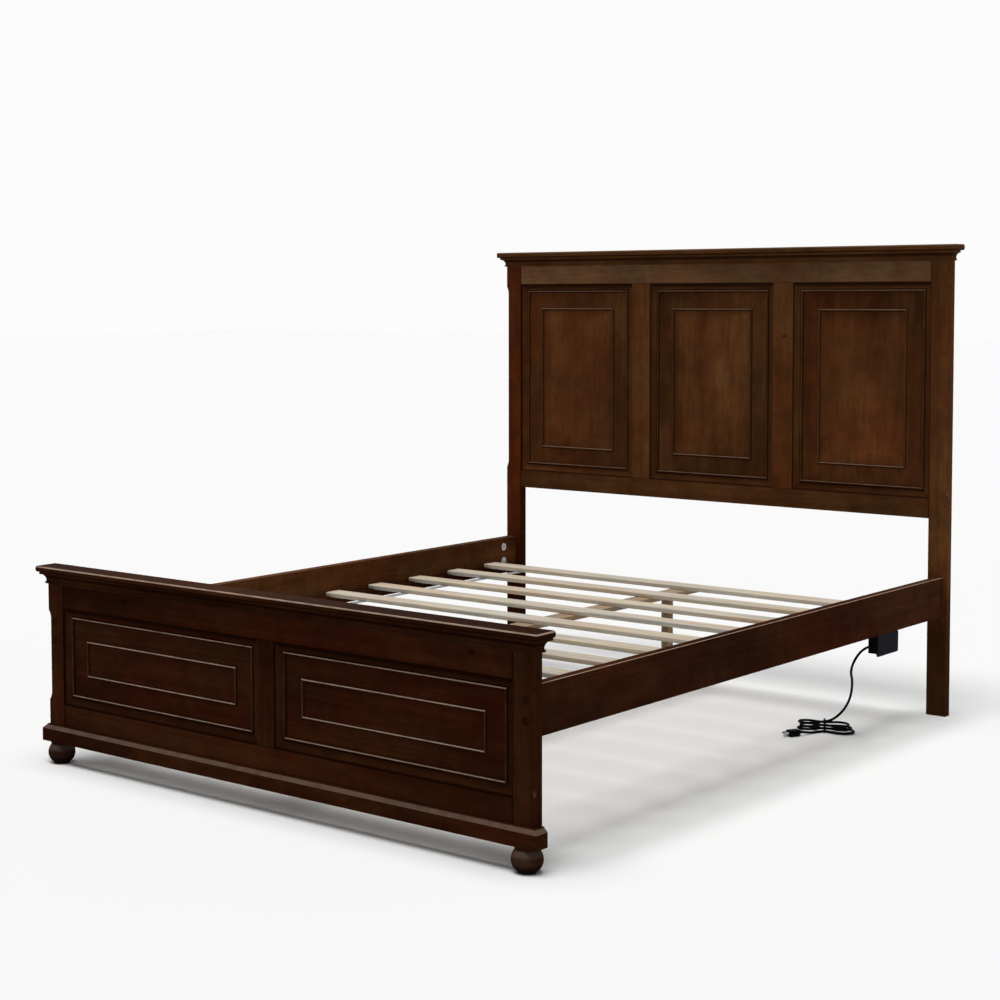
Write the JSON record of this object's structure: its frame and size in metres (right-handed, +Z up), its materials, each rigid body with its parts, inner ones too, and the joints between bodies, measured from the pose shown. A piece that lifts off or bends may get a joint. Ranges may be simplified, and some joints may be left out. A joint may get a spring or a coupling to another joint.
{
  "type": "panel bed",
  "caption": "Wooden panel bed with a tall panelled headboard, a low panelled footboard on bun feet, side rails, pine slats, a centre support and a power box with its lead.",
  "frame": {"origin": "on the floor, under the middle of the bed", "axes": "+Z up; +Y from the footboard to the headboard; +X to the right side seen from the foot end"},
  "size_m": [1.684, 2.127, 1.405],
  "materials": {
    "stained_wood": "dark walnut-brown stain under a satin lacquer",
    "pine": "plain sawn and planed pine",
    "zinc_steel": "zinc-plated steel",
    "black_housing": "fine-textured moulded plastic",
    "tape": "flat woven tape",
    "black_cord": "smooth flexible lead jacket"
  },
  "bodies": {
    "root": {"barrel_nuts": "zinc_steel", "bed_bolt_washers": "zinc_steel", "bed_bolts": "zinc_steel", "bolt_hole_plugs": "stained_wood", "bun_foot_left": "stained_wood", "bun_foot_right": "stained_wood", "centre_support_legs": "pine", "centre_support_rail": "pine", "cord_hank_tie": "black_cord", "cord_strain_relief": "black_cord", "foot_hanger_bolts": "zinc_steel", "footboard_bed_mould": "stained_wood", "footboard_bottom_rail": "stained_wood", "footboard_cap": "stained_wood", "footboard_mouldings_left": "stained_wood", "footboard_mouldings_right": "stained_wood", "footboard_mullion": "stained_wood", "footboard_panel_left": "stained_wood", "footboard_panel_right": "stained_wood", "footboard_plinth": "stained_wood", "footboard_post_left": "stained_wood", "footboard_post_right": "stained_wood", "footboard_top_rail": "stained_wood", "headboard_bed_mould": "stained_wood", "headboard_bottom_rail": "stained_wood", "headboard_cap": "stained_wood", "headboard_mouldings_centre": "stained_wood", "headboard_mouldings_left": "stained_wood", "headboard_mouldings_right": "stained_wood", "headboard_mullion_left": "stained_wood", "headboard_mullion_right": "stained_wood", "headboard_panel_centre": "stained_wood", "headboard_panel_left": "stained_wood", "headboard_panel_right": "stained_wood", "headboard_post_left": "stained_wood", "headboard_post_right": "stained_wood", "headboard_top_rail": "stained_wood", "plug_body": "black_cord", "plug_pins": "zinc_steel", "power_box_body": "black_housing", "power_box_plate": "black_housing", "power_cord": "black_cord", "power_cord_hank": "black_cord", "side_rail_left": "stained_wood", "side_rail_right": "stained_wood", "slat_01": "pine", "slat_02": "pine", "slat_03": "pine", "slat_04": "pine", "slat_05": "pine", "slat_06": "pine", "slat_07": "pine", "slat_08": "pine", "slat_09": "pine", "slat_10": "pine", "slat_ledge_left": "stained_wood", "slat_ledge_right": "stained_wood", "slat_screws": "zinc_steel", "slat_tapes": "tape", "wood_screws": "zinc_steel"}
  },
  "joints": []
}
